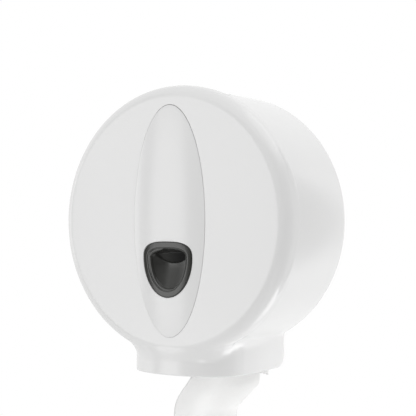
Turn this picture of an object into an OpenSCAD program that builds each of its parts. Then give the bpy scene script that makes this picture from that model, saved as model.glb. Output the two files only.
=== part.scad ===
// Wall dispenser for a jumbo toilet roll.
// The wall is the plane y = 0, the front faces -Y and +Z is up.
// The origin is on the wall, on the axis of the drum. Heights "h" below are distances from the wall.

/* [Drum] */
// Largest radius of the cover, round the front cap
cap_r = 128; // [126:1:134]
// Distance from the wall to the flat front face
cover_depth = 115.7; // [114:0.1:122]
// Radius of the drum's side where it meets the wall
rim_r = 125.7; // [124:0.1:126]
// Step from the cap's edge down to the drum's side
cap_step = 1.7; // [0.8:0.1:2.4]
// Width of the cap's rounded shoulder, seen from the front
shoulder_w = 12.3; // [10:0.1:14]
// Depth of the cap's rounded shoulder
shoulder_d = 14.1; // [12:0.1:16]
// Depth of the lip that rolls in behind the shoulder
lip_d = 6.2; // [4:0.1:8]
// Wall thickness of the cover
wall = 3; // [2.5:0.1:3.2]

/* [Chute] */
// Half width of the chute at the wall
chute_w = 59.6; // [58.5:0.1:62]
// Half width of the chute where its rounded front starts
chute_front_w = 58.6; // [58.2:0.1:60]
// Distance from the wall to where the rounded front starts
chute_straight = 75; // [70:1:79]
// Distance from the wall to the chute's foremost point
chute_depth = 114.8; // [112:0.1:115]
// Height of the chute's lower edge below the drum's axis
chute_drop = 144; // [142:1:148]
// Radius of the chute's rear lower corners, about the hinge
corner_r = 13.5; // [12:0.5:14]

/* [Front insert and window] */
// Half width of the oval insert
insert_a = 39.8; // [36:0.1:42]
// Half height of the oval insert
insert_b = 108.6; // [104:0.1:110]
// How far the insert stands proud in its middle
insert_crown = 3.8; // [2:0.1:4.5]
// Half width of the level window
window_w = 28.1; // [25:0.1:30]
// Height of the window's widest line
window_mid = -34.3; // [-38:0.1:-30]
// Height of the window's squarer part, above its widest line
window_up = 15.5; // [12:0.1:18]
// Depth of the window's half oval, below its widest line
window_down = 37.5; // [34:0.1:40]
// Width of the window's rim
window_rim = 6.4; // [4:0.1:8]

/* [Roll] */
// Outer radius of the roll as it is loaded
roll_r = 88; // [60:1:94]
// Width of the paper
paper_w = 88; // [84:1:89]
// Inner radius of the roll's cardboard core
core_r = 28.5; // [26:0.5:34]

/* [Wall fixing] */
// Distance between the wall screws, left to right
screw_span_x = 140; // [120:1:150]
// Distance between the wall screws, up and down
screw_span_z = 110; // [90:1:120]
// Radius of the wall screw holes
screw_hole_r = 2.75; // [2.25:0.25:3.25]

/* [Hidden] */
$fn = 96;

// Small distances: the cover's gap to the wall, a running fit, and how far a cut runs past a face
wall_gap = 0.5;
slip = 0.05;
through = 1;
bond = 0.5;

// Colours
white = "white";
smoke = "dimgray";
steel = "silver";

// Cover
crease_r = cap_r - cap_step;
shoulder_h = cover_depth - shoulder_d;
crease_h = shoulder_h - lip_d;
face_wall = 3.2;
face_inside = cover_depth - face_wall;
ring_r = cap_r - shoulder_w;

// Hinge: an axis along X, as far from the wall as the corners are round
hinge_h = corner_r + wall_gap;
hinge_z = corner_r + wall_gap - chute_drop;
hinge_pin_r = 3;
hinge_boss_r = 7;
hinge_boss_x = 52.2;
hinge_bore_end = chute_w - 1.6;

// Back plate
plate_t = 3;
plate_r = 116;
plate_flange_r = 115;
plate_flange_t = 2.5;
plate_flange_h = 7;
tongue_w = 51.5;
tongue_drop = chute_drop - 1;
tongue_length = 60;
ear_t = 3;
ear_h = 60;
ear_top = -120;
ear_front_top = -126;
ear_front_foot = -139;
screw_pad_r = 7;
rib_t = 2;
rib_h = 5.5;
rib_inner_r = 34;
rib_count = 12;

// Spindle, hub and roll
roll_h = 11;
roll_end = roll_h + paper_w;
post_r = 10;
post_flange_r = 30;
post_flange_end = plate_t + 4;
post_end = roll_end - 1;
post_screw_ring = 22;
post_screw_r = 2;
post_screw_head_r = 4;
post_screw_sink = 2;
post_thread_r = 1.8;
post_thread_depth = 16;
washer_r = 17;
washer_gap = 0.3;
washer_t = 1.2;
hub_start = post_flange_end + washer_t + washer_gap;
hub_flange_t = 2;
hub_flange_r = core_r + 6;
hub_sleeve_r = 14;
hub_end = post_end - 0.5;
hub_fin_t = 2;
hub_fin_count = 6;
hub_fin_short = 4;
hub_fit = 0.15;
core_t = 1.5;
cap_disc_r = 17;
cap_disc_t = 4;
cap_front = post_end + cap_disc_t;
cap_bevel = 1.5;
cap_hole_r = 1.9;
cap_screw_length = 14;
cap_screw_r = 1.75;
cap_screw_head_r = 4;
cap_screw_sink = 2;
head_gap = 0.2;
head_t = 1.8;
screw_slot_w = 0.8;

// Lock, in the top of the drum near the wall
lock_h = 20;
lock_housing_r = 7;
lock_flange_r = 9;
lock_flange_z = rim_r + 0.25;
lock_top = lock_flange_z + 1.2;
lock_bottom = 108;
lock_hole_gap = 0.15;
lock_plug_r = 4.5;
key_slot = [1.2, 6, 8];
nut_top = 122;
nut_t = 3.2;
nut_r = 10.5;
cam_t = 2;
cam_top = lock_bottom - 0.5;
cam_length = 15.5;
cam_half = 4.5;
cam_eye_r = 6;
cam_screw_r = 1.45;
cam_screw_length = 5.5;
cam_screw_head_r = 3;
cam_screw_head_t = 1.5;
catch_t = 1.5;
catch_in = 9;
catch_out = 21;
catch_reach = 27.5;
catch_top = lock_bottom + 2;
catch_lip = 2;
catch_foot = 88;
catch_mid = (catch_in + catch_out) / 2;
catch_screw_z = [catch_foot + 4, catch_foot + 12];
catch_screw_r = 1.25;
catch_screw_length = 4;
catch_screw_head_r = 2.6;
catch_screw_head_t = 1.5;

// Tear blades
blade_t = 2.5;
blade_back = 23;
blade_front = 60;
blade_top = -125;
blade_front_z = -141;
blade_back_z = -150;
blade_teeth = 6;
blade_scallop = 2;
blade_rivet_h = [32, 52];
blade_rivet_z = -131;
rivet_r = 1.5;
rivet_head_r = 2.8;
rivet_head_t = 1.2;
hinge_head_t = 1.5;
hinge_end_play = 0.3;

// The loose end of the paper: [x at the front edge, x at the rear edge, z]
tail_t = 1.2;
tail_stations = [[80.4, 80.4, -40], [62, 64, -78], [42, 47, -108], [24, 42, -130], [12, 37, -149],
    [2, 31, -162], [-4, 26, -173], [-6, 14, -187], [-6, 11, -198], [-5, 12, -208]];

// Turns a profile of [radius, h] points about the drum's axis
module turned(profile) {
    rotate([90, 0, 0]) rotate_extrude() polygon(profile);
}

// A tube round the drum's axis, from h0 to h1
module ring(outer, inner, h0, h1) {
    turned([[inner, h0], [outer, h0], [outer, h1], [inner, h1]]);
}

// A disc round the drum's axis, moved to x, z
module peg(r, h0, h1, x = 0, z = 0) {
    translate([x, -h0, z]) rotate([90, 0, 0]) cylinder(r = r, h = h1 - h0);
}

// A flat outline in X and Z, given thickness from h0 to h1
module plate(h0, h1) {
    translate([0, -h0, 0]) rotate([90, 0, 0]) linear_extrude(h1 - h0) children();
}

// A flat outline in h and Z, given thickness from x0 to x1
module side_plate(x0, x1) {
    translate([x0, 0, 0]) rotate([90, 0, -90]) mirror([0, 0, 1]) linear_extrude(x1 - x0) children();
}

// A rod along X at a distance h from the wall and a height z
module cross_rod(r, x0, x1, h, z) {
    translate([x0, -h, z]) rotate([0, 90, 0]) cylinder(r = r, h = x1 - x0);
}

module both_sides() {
    children();
    mirror([1, 0, 0]) children();
}

// A screw with a flat round head, pointing at the wall: its head's front is at h
module screw(h, x, z, length, r, head_r, head_t) {
    difference() {
        union() {
            peg(head_r, h - head_t, h, x, z);
            peg(r, h - head_t - length, h - head_t, x, z);
        }
        plate(h - head_t / 2, h + through) translate([x, z])
            square([head_r * 1.5, screw_slot_w], center = true);
    }
}

function arc(cx, cy, rx, ry, a0, a1, n) =
    [for (i = [0 : n]) let (a = a0 + (a1 - a0) * i / n) [cx + rx * cos(a), cy + ry * sin(a)]];

// Cover ----------------------------------------------------------------

cover_outside = concat(
    [[0, wall_gap], [rim_r, wall_gap]],
    arc(crease_r, shoulder_h, cap_step, lip_d, -90, 0, 4),
    arc(ring_r, shoulder_h, shoulder_w, shoulder_d, 9, 90, 9),
    [[0, cover_depth]]);

cover_inside = concat(
    [[0, -through], [rim_r - wall, -through]],
    arc(ring_r, shoulder_h, crease_r - wall - ring_r, shoulder_d - face_wall, 0, 90, 8),
    [[0, face_inside]]);

// Half of the chute's plan, and the whole of it, as [x, y] points
chute_root = 100;
chute_round = 2.2;
function chute_half(inset) = [for (i = [0 : 12])
    let (a = 90 * i / 12, e = 2 / chute_round)
    [(chute_front_w - inset) * pow(cos(a), e),
     -chute_straight - (chute_depth - chute_straight - inset) * pow(sin(a), e)]];
function mirrored(points) = [for (i = [len(points) - 2 : -1 : 0]) [-points[i][0], points[i][1]]];
function chute_plan(inset, back) = concat(
    [[chute_w - inset, back]], chute_half(inset), mirrored(chute_half(inset)),
    [[-(chute_w - inset), back]]);

module cover_form() {
    turned(cover_outside);
    translate([0, 0, -chute_drop]) linear_extrude(chute_drop - chute_root)
        polygon(chute_plan(0, -wall_gap));
}

module cover_hollow() {
    turned(cover_inside);
    translate([0, 0, -chute_drop - through]) linear_extrude(chute_drop + 2 * through - chute_root)
        polygon(chute_plan(wall, through));
}

// What the rear lower corners lose, so that they clear the wall as the cover opens
module corner_waste() {
    difference() {
        translate([-cap_r, -hinge_h, -chute_drop - through])
            cube([2 * cap_r, hinge_h, hinge_z + chute_drop + through]);
        cross_rod(corner_r, -cap_r - through, cap_r + through, hinge_h, hinge_z);
    }
}

module oval(a, b) {
    polygon(arc(0, 0, a, b, 0, 357, 119));
}

// The window's outline: a half oval below its widest line, and a squarer curve above it
window_square = 2.6;
module drop(grow = 0) {
    polygon(concat(
        arc(0, window_mid, window_w + grow, window_down + grow, 180, 360, 24),
        [for (i = [1 : 19]) let (a = 180 * i / 20, e = 2 / window_square, side = sign(cos(a)))
            [side * (window_w + grow) * pow(abs(cos(a)), e),
             window_mid + (window_up + grow) * pow(sin(a), e)]]));
}

// The insert lies in a shallow seat in the face, with an even gap round it
insert_gap = 0.45;
insert_back = cover_depth - 1.7;
seat_h = insert_back - 0.1;
window_gap = 0.2;
window_hole_gap = 0.6;

module cover_shell() {
    color(white) difference() {
        union() {
            difference() {
                cover_form();
                cover_hollow();
            }
            both_sides() cross_rod(hinge_boss_r, hinge_boss_x, chute_w - wall + bond, hinge_h, hinge_z);
        }
        corner_waste();
        both_sides() cross_rod(hinge_pin_r + slip, hinge_boss_x - through, hinge_bore_end, hinge_h, hinge_z);
        plate(seat_h, cover_depth + through) oval(insert_a + insert_gap, insert_b + insert_gap);
        plate(face_inside - through, cover_depth) drop(window_hole_gap);
        upright(lock_housing_r + lock_hole_gap, nut_top - nut_t, lock_top + through);
    }
}

// The insert's front, as rows of points from bottom to top
insert_rows = 28;
insert_cols = 16;
function insert_row_z(i) = -(insert_b - 0.02) * cos(180 * i / insert_rows);
function insert_half(z) = insert_a * sqrt(1 - pow(z / insert_b, 2));
function insert_h(u, z) = cover_depth
    + insert_crown * (1 - pow(z / insert_b, 2)) * pow(cos(90 * u), 1.5);
insert_front = [for (i = [0 : insert_rows], j = [0 : insert_cols])
    let (z = insert_row_z(i), u = 2 * j / insert_cols - 1)
    [insert_half(z) * u, -insert_h(u, z), z]];
insert_rear = [for (p = insert_front) [p[0], -insert_back, p[2]]];
insert_n = len(insert_front);
function insert_at(i, j) = i * (insert_cols + 1) + j;
insert_faces = concat(
    [for (i = [0 : insert_rows - 1], j = [0 : insert_cols - 1])
        [insert_at(i, j), insert_at(i + 1, j), insert_at(i + 1, j + 1), insert_at(i, j + 1)]],
    [for (i = [0 : insert_rows - 1], j = [0 : insert_cols - 1])
        [insert_n + insert_at(i, j), insert_n + insert_at(i, j + 1),
         insert_n + insert_at(i + 1, j + 1), insert_n + insert_at(i + 1, j)]],
    [for (i = [0 : insert_rows - 1])
        [insert_at(i, 0), insert_n + insert_at(i, 0), insert_n + insert_at(i + 1, 0), insert_at(i + 1, 0)]],
    [for (i = [0 : insert_rows - 1])
        [insert_at(i, insert_cols), insert_at(i + 1, insert_cols),
         insert_n + insert_at(i + 1, insert_cols), insert_n + insert_at(i, insert_cols)]],
    [for (j = [0 : insert_cols - 1])
        [insert_at(0, j), insert_at(0, j + 1), insert_n + insert_at(0, j + 1), insert_n + insert_at(0, j)]],
    [for (j = [0 : insert_cols - 1])
        [insert_at(insert_rows, j), insert_n + insert_at(insert_rows, j),
         insert_n + insert_at(insert_rows, j + 1), insert_at(insert_rows, j + 1)]]);

module front_insert() {
    color(white) difference() {
        polyhedron(concat(insert_front, insert_rear), insert_faces, convexity = 4);
        plate(insert_back - through, rim_front + through) drop(window_gap);
    }
}

// Window: a rim on the insert and a finger scoop that goes in behind it, deepest at the top
rim_front = cover_depth + 3.9;
rim_t = rim_front - face_inside + bond;
scoop_z = window_mid - 1;
scoop_r = 13;
scoop_floor = cover_depth - 6.5;
scoop_wall = 1.8;
clip_t = 2;
clip_w = 4;

// A wide outline in front and a smaller disc behind it, joined
module scoop_form(front, front_t, grow, back, r) {
    hull() {
        plate(front - front_t, front) drop(grow);
        plate(back, back + 0.1) translate([0, scoop_z]) circle(r = r, $fn = 32);
    }
}

module level_window() {
    color(smoke) difference() {
        union() {
            plate(rim_front - rim_t, rim_front) drop();
            scoop_form(rim_front - rim_t, bond, -scoop_wall, scoop_floor - scoop_wall, scoop_r + scoop_wall);
        }
        scoop_form(rim_front + through, through, -window_rim, scoop_floor, scoop_r);
    }
}

module window_clip() {
    color(white) plate(face_inside - clip_t - slip, face_inside - slip) difference() {
        drop(clip_w);
        drop(window_gap);
    }
}

// Lock -----------------------------------------------------------------

module upright(r, z0, z1) {
    translate([0, -lock_h, z0]) cylinder(r = r, h = z1 - z0);
}

module lock_housing() {
    color(steel) difference() {
        union() {
            upright(lock_flange_r, lock_flange_z, lock_top);
            upright(lock_housing_r, lock_bottom, lock_flange_z);
        }
        upright(lock_plug_r + slip, lock_bottom - through, lock_top + through);
    }
}

module lock_nut() {
    color(steel) difference() {
        translate([0, -lock_h, nut_top - nut_t]) cylinder(r = nut_r, h = nut_t, $fn = 6);
        upright(lock_housing_r + slip, nut_top - nut_t - through, nut_top + through);
    }
}

module lock_plug() {
    color(steel) difference() {
        upright(lock_plug_r, cam_top, lock_top);
        translate([-key_slot[0] / 2, -lock_h - key_slot[1] / 2, lock_top - key_slot[2]])
            cube(key_slot + [0, 0, through]);
        upright(cam_screw_r + slip, cam_top - through, cam_top + cam_screw_length + bond);
    }
}

module lock_cam() {
    color(steel) difference() {
        union() {
            upright(cam_eye_r, cam_top - cam_t, cam_top);
            translate([-cam_half, -lock_h, cam_top - cam_t]) cube([2 * cam_half, cam_length, cam_t]);
        }
        upright(cam_screw_r + slip, cam_top - cam_t - through, cam_top + through);
    }
}

module cam_screw() {
    color(steel) union() {
        upright(cam_screw_head_r, cam_top - cam_t - cam_screw_head_t, cam_top - cam_t);
        upright(cam_screw_r, cam_top - cam_t, cam_top + cam_screw_length);
    }
}

// Wall side ------------------------------------------------------------

module rib(angle) {
    rotate([0, angle, 0]) translate([rib_inner_r, -rib_h, -rib_t / 2])
        cube([plate_flange_r - plate_flange_t - rib_inner_r + bond, rib_h - plate_t + bond, rib_t]);
}

module screw_places() {
    for (x = [-1, 1], z = [-1, 1]) translate([x * screw_span_x / 2, 0, z * screw_span_z / 2]) children();
}

module post_screw_places() {
    for (a = [45 : 90 : 315]) rotate([0, a, 0]) translate([post_screw_ring, 0, 0]) children();
}

module ear() {
    side_plate(tongue_w - ear_t, tongue_w) difference() {
        polygon([[bond, -tongue_drop], [ear_h, ear_front_foot], [ear_h, ear_front_top], [bond, ear_top]]);
        translate([hinge_h, hinge_z]) circle(r = hinge_pin_r + slip);
        for (h = blade_rivet_h) translate([h, blade_rivet_z]) circle(r = rivet_r + slip);
    }
}

module back_plate() {
    color(white) difference() {
        union() {
            peg(plate_r, 0, plate_t);
            ring(plate_flange_r, plate_flange_r - plate_flange_t, plate_t - bond, plate_flange_h);
            translate([-tongue_w, -plate_t, -tongue_drop]) cube([2 * tongue_w, plate_t, tongue_length]);
            both_sides() ear();
            for (i = [0 : rib_count - 1]) rib((i + 0.5) * 360 / rib_count);
        }
        screw_places() peg(screw_hole_r, -through, plate_t + through);
        screw_places() peg(screw_pad_r, plate_t, rib_h + through);
        post_screw_places() peg(post_screw_r + slip, -through, plate_t + through);
        translate([-catch_out - 1, -plate_flange_h - through, catch_foot - 1])
            cube([catch_out - catch_in + 2, plate_flange_h - plate_t + through, catch_foot]);
        for (z = catch_screw_z) peg(catch_screw_r + slip, -through, plate_t + through, -catch_mid, z);
    }
}

module spindle_post() {
    color(white) difference() {
        union() {
            peg(post_flange_r, plate_t, post_flange_end);
            peg(post_r, post_flange_end - bond, post_end);
        }
        post_screw_places() peg(post_screw_r + slip, plate_t - through, post_flange_end + through);
        post_screw_places()
            peg(post_screw_head_r + head_gap, post_flange_end - post_screw_sink, post_flange_end + through);
        peg(post_thread_r, post_end - post_thread_depth, post_end + through);
    }
}

module post_screws() {
    color(steel) post_screw_places() screw(post_flange_end - post_screw_sink + head_t, 0, 0,
        post_flange_end - post_screw_sink - bond, post_screw_r, post_screw_head_r, head_t);
}

module brake_washer() {
    color(smoke) ring(washer_r, post_r + washer_gap, post_flange_end, post_flange_end + washer_t);
}

module hub_cap() {
    color(white) difference() {
        turned([[0, post_end], [cap_disc_r - 1, post_end], [cap_disc_r, post_end + 1],
            [cap_disc_r, cap_front - cap_bevel], [cap_disc_r - cap_bevel, cap_front], [0, cap_front]]);
        peg(cap_hole_r, post_end - through, cap_front + through);
        peg(cap_screw_head_r + head_gap, cap_front - cap_screw_sink, cap_front + through);
    }
}

module cap_screw() {
    color(steel) screw(cap_front - cap_screw_sink + head_t, 0, 0, cap_screw_length, cap_screw_r,
        cap_screw_head_r, head_t);
}

module catch_plate() {
    width = catch_out - catch_in;
    color(steel) difference() {
        union() {
            translate([-catch_out, -plate_t - catch_t, catch_foot])
                cube([width, catch_t, catch_top - catch_foot]);
            translate([-catch_out, -catch_reach, catch_top - catch_t])
                cube([width, catch_reach - plate_t, catch_t]);
            translate([-catch_out, -catch_reach, cam_top - cam_t - catch_lip])
                cube([width, catch_t, catch_top - cam_top + cam_t + catch_lip]);
        }
        for (z = catch_screw_z) peg(catch_screw_r + slip, 0, plate_t + catch_t + through, -catch_mid, z);
    }
}

module catch_screws() {
    color(steel) for (z = catch_screw_z)
        screw(plate_t + catch_t + catch_screw_head_t, -catch_mid, z, catch_screw_length, catch_screw_r,
            catch_screw_head_r, catch_screw_head_t);
}

module hinge_pin_right() {
    color(steel) union() {
        cross_rod(hinge_pin_r, tongue_w - ear_t, hinge_bore_end - hinge_end_play, hinge_h, hinge_z);
        cross_rod(hinge_pin_r + 2, tongue_w - ear_t - hinge_head_t, tongue_w - ear_t, hinge_h, hinge_z);
    }
}

module hinge_pin_left() {
    mirror([1, 0, 0]) hinge_pin_right();
}

// The lower edge of a tear blade: hollow scallops between points
blade_pitch = (blade_front - blade_back) / blade_teeth;
blade_edge = [for (i = [0 : blade_teeth * 4])
    let (h = blade_back + blade_pitch * i / 4,
         line = blade_back_z + (blade_front_z - blade_back_z) * i / (blade_teeth * 4))
    [h, line + blade_scallop * sin(180 * (i % 4) / 4)]];

module tear_blade_right() {
    color(white) side_plate(tongue_w, tongue_w + blade_t) difference() {
        polygon(concat(blade_edge, [[blade_front, blade_top], [blade_back, blade_top]]));
        for (h = blade_rivet_h) translate([h, blade_rivet_z]) circle(r = rivet_r + slip);
    }
}

module tear_blade_left() {
    mirror([1, 0, 0]) tear_blade_right();
}

module blade_rivets() {
    color(steel) both_sides() for (h = blade_rivet_h) {
        cross_rod(rivet_r, tongue_w - ear_t, tongue_w + blade_t, h, blade_rivet_z);
        cross_rod(rivet_head_r, tongue_w + blade_t, tongue_w + blade_t + rivet_head_t, h, blade_rivet_z);
        cross_rod(rivet_head_r, tongue_w - ear_t - rivet_head_t, tongue_w - ear_t, h, blade_rivet_z);
    }
}

// Roll -----------------------------------------------------------------

module roll_hub() {
    color(white) difference() {
        union() {
            ring(hub_flange_r, post_r + slip, hub_start, hub_start + hub_flange_t);
            ring(hub_sleeve_r, post_r + slip, hub_start + hub_flange_t - bond, hub_end);
            for (i = [0 : hub_fin_count - 1]) rotate([0, i * 360 / hub_fin_count, 0])
                translate([hub_sleeve_r - bond, hub_fin_short - hub_end, -hub_fin_t / 2])
                    cube([core_r - hub_fit - hub_sleeve_r + bond, hub_end - hub_fin_short - hub_start - bond,
                        hub_fin_t]);
        }
        peg(post_r + slip, hub_start - through, hub_end + through);
    }
}

module core_tube() {
    color("burlywood") ring(core_r + core_t, core_r, roll_h, roll_end);
}

module paper_roll() {
    color("whitesmoke") ring(roll_r, core_r + core_t, roll_h, roll_end);
}

// The tail: a thin closed sheet through its stations, four points at each
tail_points = [for (s = tail_stations, x = [-tail_t / 2, tail_t / 2], k = [0, 1])
    [s[k] + x, k == 0 ? -roll_end : -roll_h, s[2]]];
tail_last = 4 * (len(tail_stations) - 1);
tail_order = [0, 1, 3, 2];
tail_faces = concat(
    [for (i = [0 : len(tail_stations) - 2], k = [0 : 3], half = [0, 1])
        let (a = 4 * i + tail_order[k], b = 4 * i + tail_order[(k + 1) % 4])
        half == 0 ? [a, a + 4, b] : [a + 4, b + 4, b]],
    [[0, 1, 3], [0, 3, 2]],
    [[tail_last, tail_last + 3, tail_last + 1], [tail_last, tail_last + 2, tail_last + 3]]);

module paper_tail() {
    color("whitesmoke") polyhedron(tail_points, tail_faces, convexity = 4);
}

back_plate();
spindle_post();
post_screws();
brake_washer();
hub_cap();
cap_screw();
catch_plate();
catch_screws();
hinge_pin_left();
hinge_pin_right();
tear_blade_left();
tear_blade_right();
blade_rivets();
paper_tail();
roll_hub();
core_tube();
paper_roll();
cover_shell();
front_insert();
level_window();
window_clip();
lock_housing();
lock_nut();
lock_plug();
lock_cam();
cam_screw();
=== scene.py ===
import math

import bpy
import numpy as np
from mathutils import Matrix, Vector


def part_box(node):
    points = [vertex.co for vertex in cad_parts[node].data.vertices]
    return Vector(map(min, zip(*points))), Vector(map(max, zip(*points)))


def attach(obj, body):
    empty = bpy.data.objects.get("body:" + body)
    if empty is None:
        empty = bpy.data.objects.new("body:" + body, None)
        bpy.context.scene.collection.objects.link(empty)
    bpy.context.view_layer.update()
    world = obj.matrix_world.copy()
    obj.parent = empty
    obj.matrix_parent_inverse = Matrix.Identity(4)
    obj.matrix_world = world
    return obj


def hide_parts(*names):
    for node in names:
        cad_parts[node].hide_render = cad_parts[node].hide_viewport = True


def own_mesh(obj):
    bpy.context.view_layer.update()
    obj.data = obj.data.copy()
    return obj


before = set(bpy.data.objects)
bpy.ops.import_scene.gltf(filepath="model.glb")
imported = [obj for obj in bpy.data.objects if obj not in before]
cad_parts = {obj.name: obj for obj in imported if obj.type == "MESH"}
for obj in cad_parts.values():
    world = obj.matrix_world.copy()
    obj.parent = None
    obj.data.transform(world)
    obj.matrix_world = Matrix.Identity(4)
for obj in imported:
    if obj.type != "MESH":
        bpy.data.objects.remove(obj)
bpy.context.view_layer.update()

# All lengths below are in millimetres in the row frame, and become metres in the meshes.
MM = 0.001


def node_box(name):
    low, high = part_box(name)
    return np.array(low) / MM, np.array(high) / MM


# ---------------------------------------------------------------- driving sizes
COVER_LOW, COVER_HIGH = node_box("cover_shell")
CAP_R = COVER_HIGH[0]                    # largest radius of the drum
COVER_DEPTH = -COVER_LOW[1]              # wall to the flat face
CHUTE_DROP = -COVER_LOW[2]               # drum's axis to the chute's lower edge
WALL_GAP = -COVER_HIGH[1]                # the cover's gap to the wall
RIM_R = CAP_R - 2.3                      # drum's side at the wall
CREASE_R = CAP_R - 1.7                   # drum's side under the lip
SHOULDER_W, SHOULDER_D = 12.3, 14.1      # rounded shoulder, in plan and in depth
LIP_FROM = 24.0                          # where the shoulder's arc gives way to the lip, in degrees
LIP_D, LIP_ROUND = 6.2, 0.8              # depth of the lip behind the shoulder, and its rounded edge
WALL, EDGE_ROUND = 3.0, 0.8              # thickness of the cover, and the rounding of its open edge
RING_R = CAP_R - SHOULDER_W              # edge of the flat face
SHOULDER_H = COVER_DEPTH - SHOULDER_D    # distances from the wall to the shoulder's largest radius, the crease
CREASE_H = SHOULDER_H - LIP_D            # behind the lip, and the inside of the face
FACE_INSIDE = COVER_DEPTH - WALL - 0.2

CHUTE_W, CHUTE_FRONT_W = 59.6, 58.6      # half width at the wall, and where the front starts
CHUTE_STRAIGHT = 75.0                    # distance from the wall to where the front starts
CHUTE_DEPTH = COVER_DEPTH - 0.9          # distance from the wall to its foremost point
CHUTE_ROUND = 2.2                        # exponent of the chute's rounded front
CORNER = 13.5                            # radius of the rear lower corners, about the hinge
FILLET, FILLET_REAR = 13.0, 0.25         # fillet between the drum and the chute, and its share at the wall
FILLET_FULL, FILLET_POWER = 85.0, 0.6    # distance from the wall where it is full, and how fast it narrows
CHUTE_TOP = -100.0                       # the chute's form ends inside the drum at this height
BEHIND_WALL, PAST_AXIS = -60.0, -1.0     # how far the outlines run on, so that they close out of sight

INSERT_LOW, INSERT_HIGH = node_box("front_insert")
INSERT_A, INSERT_B = INSERT_HIGH[0], INSERT_HIGH[2]
INSERT_BACK = -INSERT_HIGH[1]
INSERT_CROWN = -INSERT_LOW[1] - COVER_DEPTH
SEAM, SEAM_TOP = 0.09, 0.4               # gap between the insert and the cover, and how much wider it is at the top
INSERT_RISE, INSERT_DOME = 0.35, 1.25    # how far its edge stands proud, and how full its dome is
SEAM_POWER, SEAM_ROUND = 2.5, 0.28       # how fast it widens towards the top, and the rounding of both edges
SEAT_H, SEAT_SIDE = INSERT_BACK - 0.1, 0.3     # the insert's seat, and the straight part of its side
SEAT_HOLE = 0.6                          # how much larger than the window the hole in the seat is

WINDOW_HIGH = node_box("level_window")[1]
TRIM_SIDE, TRIM_TOP = 0.8, 0.7           # how much smaller than the solid the window is
WINDOW_W = WINDOW_HIGH[0] - TRIM_SIDE
WINDOW_UP, WINDOW_DOWN = 14.8, 36.9      # height above its widest line, and depth below it
WINDOW_MID = WINDOW_HIGH[2] - WINDOW_UP - TRIM_TOP
WINDOW_SQUARE = 2.85                     # exponent of the outline above the widest line
WINDOW_CENTRE = np.array([0.0, WINDOW_MID - 3.5])     # its rings are drawn round this point

RIM_PROUD, RIM_FLAT, RIM_LEVEL = 0.45, 0.05, 120.0    # the rim's rise, and its share of a flat level
RIM_ROUND, RIM_W = 0.5, 5.4              # the rim's outer rounding and its width
COLLAR_W, COLLAR_ROUND, COLLAR_GAP = 0.5, 0.15, 0.4   # raised edge of the insert's hole round the window
GROOVE, SHELF, SHELF_W = 0.5, 0.28, 3.6  # depths of the groove and the shelf inside the rim, and the shelf's width
SCOOP_WALL, SCOOP_BLEND, SCOOP_T = 3.0, 1.0, 2.2      # wall's rise over run, rounding at its foot, thickness behind
SCOOP_FLOOR_H, SCOOP_FLOOR_Z = 111.4, WINDOW_MID - 4.7     # deepest line of the scoop's floor
FLOOR_SLOPE, FLOOR_EASE = 0.30, 5.0      # rise of the floor towards the bottom, and how softly it starts
FLOOR_HOLLOW, FLOOR_BACK = (0.0175, 0.0068), 0.012    # curve to the left and right of the middle, and upwards
POCKET = np.array([3.0, WINDOW_MID + 9.3])            # middle of the oval pocket behind the top edge
POCKET_W, POCKET_H = 20.5, 14.4          # its half width and half height
POCKET_FLOOR, POCKET_TURN, POCKET_EDGE = 108.9, 0.22, 0.12     # its floor, the floor's slope, and its soft edge
WINDOW_BACK = 1.2                        # how far its flange reaches in behind the cover's inside face

HINGE_H, HINGE_Z = CORNER + WALL_GAP, CORNER + WALL_GAP - CHUTE_DROP
BOSS_R, BORE_R, BOSS_X = 7.0, 3.05, 52.2 # the hinge bosses: radius, bore, and the inner end's distance from the middle

PAPER_T = 0.3                            # thickness of the hanging sheet


# ---------------------------------------------------------------- small geometry tools
def arc(cx, cy, rx, ry, start, end, count):
    a = np.radians(np.linspace(start, end, count + 1))
    return np.stack([cx + rx * np.cos(a), cy + ry * np.sin(a)], 1)


def smooth(x):
    x = np.clip(x, 0.0, 1.0)
    return x * x * (3 - 2 * x)


def lerp(a, b, t):
    return a + (b - a) * t


def polygon_distance(points, polygon):
    """Signed distance of flat points to a closed outline, negative inside."""
    best = np.full(len(points), np.inf)
    inside = np.zeros(len(points), bool)
    for p, q in zip(polygon, np.roll(polygon, -1, 0)):
        e, w = q - p, points - p
        t = np.clip(w @ e / max(e @ e, 1e-12), 0, 1)
        best = np.minimum(best, ((w - t[:, None] * e) ** 2).sum(1))
        if p[1] != q[1]:
            crosses = (p[1] > points[:, 1]) != (q[1] > points[:, 1])
            inside ^= crosses & (points[:, 0] < p[0] + (points[:, 1] - p[1]) * e[0] / e[1])
    return np.where(inside, -1.0, 1.0) * np.sqrt(best)


def new_mesh(name, points, faces):
    mesh = bpy.data.meshes.new(name)
    mesh.from_pydata((np.asarray(points) * MM).tolist(), [], faces)
    mesh.validate()
    mesh.update()
    piece = bpy.data.objects.new(name, mesh)
    bpy.context.scene.collection.objects.link(piece)
    return piece


def volume(points, faces):
    """Six times the volume inside the faces, negative if they look inwards."""
    total = 0.0
    for f in faces:
        for k in range(1, len(f) - 1):
            total += np.dot(points[f[0]], np.cross(points[f[k]], points[f[k + 1]]))
    return total


def outward_piece(name, points, faces):
    """A smooth piece whose faces look outwards."""
    if volume(points, faces) < 0:
        faces = [f[::-1] for f in faces]
    piece = new_mesh(name, points, faces)
    for polygon in piece.data.polygons:
        polygon.use_smooth = True
    return piece


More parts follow.
